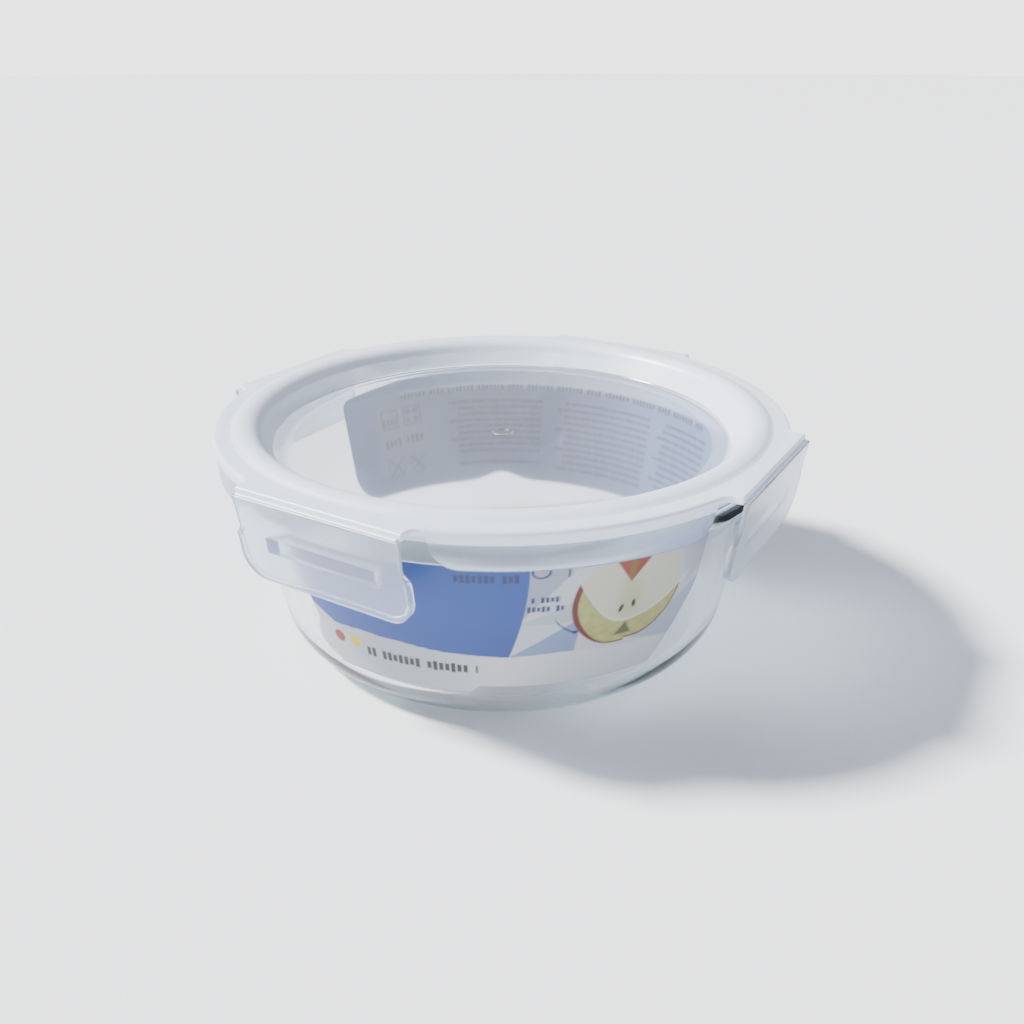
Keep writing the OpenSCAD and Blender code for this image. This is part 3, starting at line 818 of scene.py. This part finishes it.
# %% Glass
def pressed_glass():
    """Clear glass with an absorbing volume."""
    material, tree, out = new_material("borosilicate_glass_pressed")
    waves = noise_at(tree, 22)
    bump = add_node(tree, "ShaderNodeBump", {"Strength": 0.05, "Distance": 0.0004}, Height=waves)
    glass = add_node(tree, "ShaderNodeBsdfPrincipled",
                     {"Base Color": rgba("#ffffff"), "Roughness": 0.012, "IOR": 1.473,
                      "Transmission Weight": 1.0}, Normal=bump)
    tint = add_node(tree, "ShaderNodeVolumeAbsorption", {"Color": rgba("#8fb6c2"), "Density": 24.0})
    finish_clear(tree, out, glass, "#76868a")
    tree.links.new(tint.outputs[0], out.inputs["Volume"])
    return material


bowl_glass.data.materials.append(pressed_glass())

# %% [markdown]
# Polypropylene, injection moulded without pigment. It scatters light inside, so it is milky
# and bluish, more so where it is thick. Where the mould was polished the lid is nearly clear;
# where it was eroded by sparks it has a fine satin grain.

# %% Plastic
def polypropylene(name, clear, roughness, colour, grain, lamp_tint):
    """Milky plastic: clear says how much light goes straight through, grain how deep the satin is."""
    material, tree, out = new_material(name)
    fine, flow = noise_at(tree, 0.5), noise_at(tree, 18)
    tone = blend_tones(tree, *colour, flow)
    spread = add_node(tree, "ShaderNodeMapRange",
                      {"To Min": roughness * 0.85, "To Max": roughness * 1.15}, Value=fine)
    bump = add_node(tree, "ShaderNodeBump", {"Strength": grain, "Distance": 0.00005}, Height=fine)
    plastic = add_node(tree, "ShaderNodeBsdfPrincipled",
                       {"IOR": 1.49, "Transmission Weight": clear},
                       Base_Color=tone, Roughness=spread, Normal=bump)
    finish_clear(tree, out, plastic, lamp_tint)
    return material


satin = polypropylene("polypropylene_satin", 0.25, 0.30, ("#eaf2ff", "#f3f8ff"), 0.05, "#6f757e")
polished = polypropylene("polypropylene_polished", 0.97, 0.04, ("#fafcff", "#fdfeff"), 0.0, "#8f959c")
wall_finish = polypropylene("polypropylene_recess_wall", 0.8, 0.14, ("#eff5ff", "#f6faff"), 0.02, "#8a909a")
skirt_finish = polypropylene("polypropylene_thin_skirt", 0.84, 0.16, ("#cfdcee", "#dde8f6"), 0.04, "#868e98")
wing_finish = polypropylene("polypropylene_wing", 0.85, 0.24, ("#e0ebf8", "#ecf4fc"), 0.01, "#868e98")
for material in (satin, polished, wall_finish, skirt_finish):
    lid_moulding.data.materials.append(material)
lid_moulding.data.polygons.foreach_set("material_index", face_finish.astype(np.int32))
for wing in wings:
    wing.data.materials.append(wing_finish)
for film in films:
    film.data.materials.append(satin)

# %% [markdown]
# Silicone rubber, compression moulded, white. Soft, a little waxy, with a dull sheen.

# %% Silicone
def silicone():
    """White rubber with a fine matt grain."""
    material, tree, out = new_material("silicone_moulded_white")
    fine = noise_at(tree, 0.8)
    tone = blend_tones(tree, "#e6e9ec", "#f4f5f6", fine)
    rubber = add_node(tree, "ShaderNodeBsdfPrincipled",
                      {"Roughness": 0.48, "IOR": 1.42, "Subsurface Weight": 0.15, "Subsurface Scale": 0.001},
                      Base_Color=tone)
    tree.links.new(rubber.outputs[0], out.inputs["Surface"])
    return material


seal.data.materials.append(silicone())

# %% [markdown]
# Coated label paper, offset printed. The print is the sheet's own colour; the coating gives a
# soft shine, and paper fibres make a faint unevenness that shows only close up.

# %% Label paper
def label_paper(name):
    """Print from the colour attribute, a little fibre in its tone, and a soft shine."""
    material, tree, out = new_material(name)
    ink = add_node(tree, "ShaderNodeVertexColor", {"layer_name": "print"})
    fibre = noise_at(tree, 0.7, 4.0)
    speck = add_node(tree, "ShaderNodeMapRange", {"To Min": 0.94, "To Max": 1.04}, Value=fibre)
    tone = add_node(tree, "ShaderNodeVectorMath", {"operation": "SCALE"}, Vector=ink, Scale=speck)
    bump = add_node(tree, "ShaderNodeBump", {"Strength": 0.15, "Distance": 0.00004}, Height=fibre)
    paper = add_node(tree, "ShaderNodeBsdfPrincipled", {"Roughness": 0.42, "IOR": 1.5},
                     Base_Color=tone, Normal=bump)
    tree.links.new(paper.outputs[0], out.inputs["Surface"])
    return material


front_label.data.materials.append(label_paper("label_paper_front"))
back_label.data.materials.append(label_paper("label_paper_back"))

# %% [markdown]
# ## Floor and light
# A plain pale floor that meets a pale backdrop, a soft lamp high on the left, and the sky's own
# light. The backdrop is only what the camera sees: the light on the object comes from a dimmer,
# bluer sky, which leaves the lamp's shadow dark enough. The lamp sets where the shadow falls.

# %% Floor
floor = turned("floor", np.array([[0], [100], [1000], [6000], [9000], [9000], [0]]),
               np.array([[0], [0], [0], [0], [0], [-10], [-10]]) - 0.05,
               np.linspace(0, 360, 96, endpoint=False))
material, tree, out = new_material("painted_board_pale")
weave = noise_at(tree, 1.2, 3.0)
tone = blend_tones(tree, "#ececed", "#f1f1f2", weave)
board = add_node(tree, "ShaderNodeBsdfPrincipled", {"Roughness": 0.85}, Base_Color=tone)
tree.links.new(board.outputs[0], out.inputs["Surface"])
floor.data.materials.append(material)

# %% Light
world = bpy.data.worlds.new("studio_sky")
bpy.context.scene.world = world
world.use_nodes = True
sky = world.node_tree.nodes["Background"]
place = add_node(world.node_tree, "ShaderNodeTexCoord")
parts = add_node(world.node_tree, "ShaderNodeSeparateXYZ", Vector=place.outputs["Generated"])
fade = add_node(world.node_tree, "ShaderNodeValToRGB", Fac=parts.outputs["Z"])
horizon, overhead = fade.color_ramp.elements
horizon.position, horizon.color = 0.06, (0.82, 0.83, 0.86, 1)
overhead.position, overhead.color = 0.45, (0.62, 0.68, 0.8, 1)
ray = add_node(world.node_tree, "ShaderNodeLightPath")
backdrop = add_node(world.node_tree, "ShaderNodeMix", {"data_type": "RGBA", 7: (3.1, 3.1, 3.12, 1)},
                    Factor=ray.outputs["Is Camera Ray"])
world.node_tree.links.new(fade.outputs["Color"], backdrop.inputs[6])
world.node_tree.links.new(backdrop.outputs[2], sky.inputs["Color"])


def light_at(name, kind, towards, elevation, distance, **settings):
    """A lamp that faces the bowl from a direction and an elevation in degrees."""
    lamp = bpy.data.lights.new(name, kind)
    for setting, value in settings.items():
        setattr(lamp, setting, value)
    lamp_object = bpy.data.objects.new(name, lamp)
    a, e = math.radians(towards), math.radians(elevation)
    away = Vector((math.sin(a) * math.cos(e), -math.cos(a) * math.cos(e), math.sin(e)))
    lamp_object.location = away * distance
    lamp_object.rotation_euler = away.to_track_quat("Z", "Y").to_euler()
    bpy.context.collection.objects.link(lamp_object)


light_at("key_lamp", "SUN", -66.6, 44.4, 1.6, energy=11.5, angle=math.radians(9))
